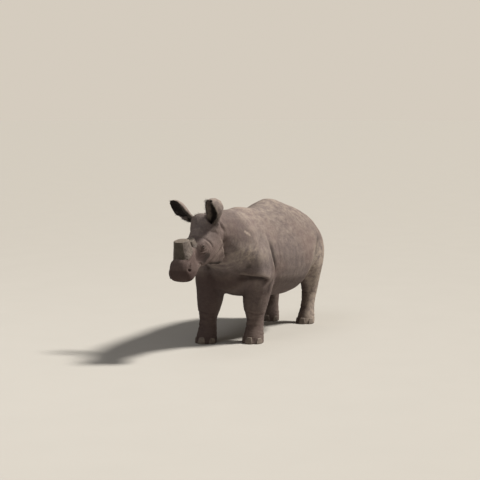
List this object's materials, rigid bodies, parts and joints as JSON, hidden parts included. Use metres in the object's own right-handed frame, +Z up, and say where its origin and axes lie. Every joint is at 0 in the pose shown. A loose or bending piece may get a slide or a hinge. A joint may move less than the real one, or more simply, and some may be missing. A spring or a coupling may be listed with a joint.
{
  "type": "white rhinoceros",
  "caption": "Life-size standing rhinoceros, head lowered and slightly turned, ears raised, horns sawn to flat stumps, on toed feet with flat soles.",
  "frame": {"origin": "on the floor, under the middle of the model's bounding box", "axes": "+Z up, -Y the way the animal faces, +X its left side"},
  "size_m": [1.192, 3.6068, 1.8546],
  "materials": {
    "hide": "matt, dry, deeply creased grey-brown skin with pale dust",
    "horn": "rough fibrous horn, dark sides and sawn tops",
    "nail": "worn dull horn",
    "eye": "wet, dark brown, glossy"
  },
  "bodies": {
    "root": {"trunk": "hide", "neck": "hide", "head": "hide", "lower_jaw": "hide", "ear_left": "hide", "ear_right": "hide", "eye_left": "eye", "eye_right": "eye", "horn_front": "horn", "horn_rear": "horn", "tail": "hide", "fore_leg_left": "hide", "fore_leg_right": "hide", "hind_leg_left": "hide", "hind_leg_right": "hide", "fore_leg_left_nail_inner": "nail", "fore_leg_left_nail_middle": "nail", "fore_leg_left_nail_outer": "nail", "fore_leg_right_nail_inner": "nail", "fore_leg_right_nail_middle": "nail", "fore_leg_right_nail_outer": "nail", "hind_leg_left_nail_inner": "nail", "hind_leg_left_nail_middle": "nail", "hind_leg_left_nail_outer": "nail", "hind_leg_right_nail_inner": "nail", "hind_leg_right_nail_middle": "nail", "hind_leg_right_nail_outer": "nail"}
  },
  "joints": []
}
